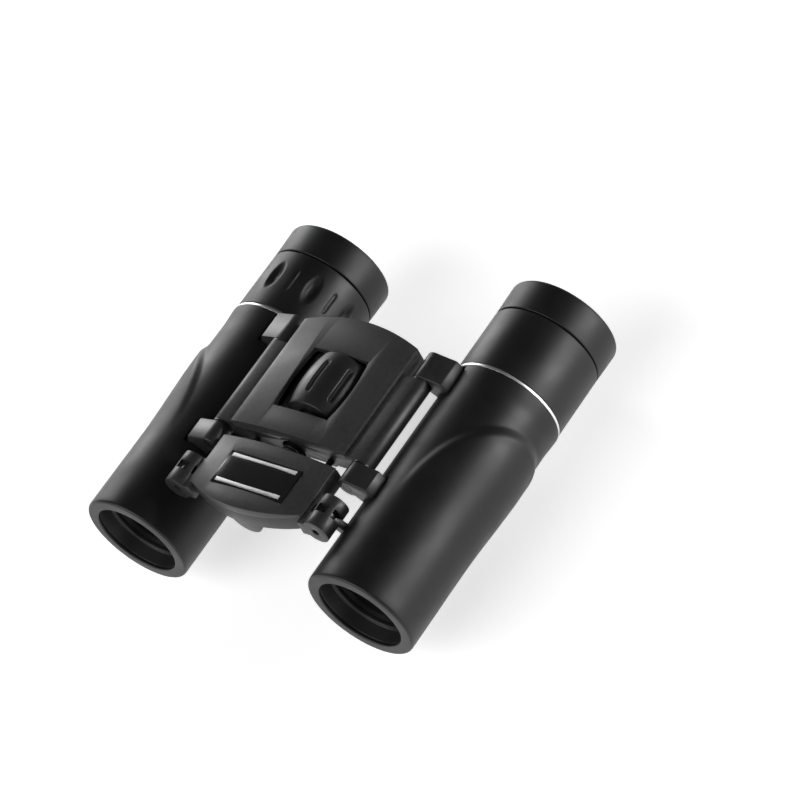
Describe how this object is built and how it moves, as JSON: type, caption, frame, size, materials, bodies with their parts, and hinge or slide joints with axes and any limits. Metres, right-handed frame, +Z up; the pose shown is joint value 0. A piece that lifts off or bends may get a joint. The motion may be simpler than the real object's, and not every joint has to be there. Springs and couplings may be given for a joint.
{
  "type": "folding binoculars",
  "caption": "Compact folding roof-prism binoculars: two armoured barrels hinged to an arched bridge, with a focus wheel that drives a sliding front yoke.",
  "frame": {"origin": "middle of the length and width of the open binoculars, on the surface that they lie on", "axes": "+X to the user's right, +Y along the barrels from the objectives to the eyepieces, +Z up"},
  "size_m": [0.1106, 0.1, 0.0383],
  "materials": {
    "rubber_armour": "matte rubber armour with a soft sheen",
    "barrel_plastic": "satin moulded plastic",
    "black_metal": "black anodised",
    "glass": "coated optical glass",
    "chrome_trim": "bright polished",
    "steel": "plain steel",
    "bridge_plastic": "satin moulded plastic",
    "cover_plastic": "satin moulded plastic, slightly greyer",
    "wheel_rubber": "ribbed rubber",
    "brass": "machined brass",
    "label": "glossy domed label"
  },
  "bodies": {
    "bridge": {"bridge_frame": "bridge_plastic", "bridge_cover": "cover_plastic", "bridge_base": "bridge_plastic", "bridge_screws": "steel", "left_hinge_pin": "steel", "right_hinge_pin": "steel", "left_hinge_washers": "steel", "right_hinge_washers": "steel", "shaft_bushes": "brass"},
    "focus_wheel": {"focus_shaft": "steel", "wheel_core": "black_metal", "wheel_grip": "wheel_rubber", "shaft_clip": "steel"},
    "yoke": {"yoke_frame": "bridge_plastic", "yoke_cover": "cover_plastic", "label_plate": "label", "yoke_nut": "brass", "yoke_screws": "steel", "guide_rods": "steel", "left_pivot_pin": "steel", "right_pivot_pin": "steel"},
    "left_barrel": {"left_barrel_tube": "barrel_plastic", "left_front_knuckle": "barrel_plastic", "left_rear_knuckle": "barrel_plastic", "left_armour": "rubber_armour", "left_front_ring": "black_metal", "left_prism_holder": "black_metal", "left_roof_prism": "glass", "left_helper_prism": "glass", "left_trim_ring": "chrome_trim"},
    "left_objective": {"left_objective_cell": "black_metal", "left_objective_crown": "glass", "left_objective_flint": "glass", "left_lens_ring": "black_metal"},
    "right_barrel": {"right_barrel_tube": "barrel_plastic", "right_front_knuckle": "barrel_plastic", "right_rear_knuckle": "barrel_plastic", "right_armour": "rubber_armour", "right_front_ring": "black_metal", "right_prism_holder": "black_metal", "right_roof_prism": "glass", "right_helper_prism": "glass", "right_trim_ring": "chrome_trim", "right_eyepiece_cell": "black_metal", "right_field_lens": "glass", "right_eye_lens": "glass", "right_eyecup": "rubber_armour", "right_rear_sleeve": "rubber_armour"},
    "right_objective": {"right_objective_cell": "black_metal", "right_objective_crown": "glass", "right_objective_flint": "glass", "right_lens_ring": "black_metal"},
    "dioptre_ring": {"left_dioptre_ring": "rubber_armour"},
    "left_eyepiece": {"left_eyepiece_cell": "black_metal", "left_field_lens": "glass", "left_eye_lens": "glass", "left_eyecup": "rubber_armour"}
  },
  "joints": [
    {"name": "left_hinge", "type": "hinge", "parent": "bridge", "child": "left_barrel", "pos_m": [-0.0239, 0, 0.0307], "axis": [0, -1, 0], "range_deg": [0, 60]},
    {"name": "right_hinge", "type": "hinge", "parent": "bridge", "child": "right_barrel", "pos_m": [0.0239, 0, 0.0307], "axis": [0, 1, 0], "range_deg": [0, 60]},
    {"name": "focus_turn", "type": "hinge", "parent": "bridge", "child": "focus_wheel", "pos_m": [0, 0, 0.0289], "axis": [0, 1, 0], "range_deg": [-180, 360]},
    {"name": "yoke_slide", "type": "slide", "parent": "bridge", "child": "yoke", "axis": [0, 1, 0], "range_m": [-0.001, 0.002]},
    {"name": "left_objective_slide", "type": "slide", "parent": "left_barrel", "child": "left_objective", "axis": [0, 1, 0], "range_m": [-0.001, 0.002]},
    {"name": "right_objective_slide", "type": "slide", "parent": "right_barrel", "child": "right_objective", "axis": [0, 1, 0], "range_m": [-0.001, 0.002]},
    {"name": "dioptre_turn", "type": "hinge", "parent": "left_barrel", "child": "dioptre_ring", "pos_m": [-0.0387, 0, 0.0159], "axis": [0, 1, 0], "range_deg": [0, 90]},
    {"name": "left_eyepiece_slide", "type": "slide", "parent": "left_barrel", "child": "left_eyepiece", "axis": [0, 1, 0], "range_m": [0, 0.0015]}
  ],
  "couplings": [
    {"joint": "focus_turn", "follows": "yoke_slide", "rad_per_m": 3141.6},
    {"joint": "left_objective_slide", "follows": "yoke_slide", "ratio": 1},
    {"joint": "right_objective_slide", "follows": "yoke_slide", "ratio": 1},
    {"joint": "dioptre_turn", "follows": "left_eyepiece_slide", "rad_per_m": 1047.2}
  ]
}
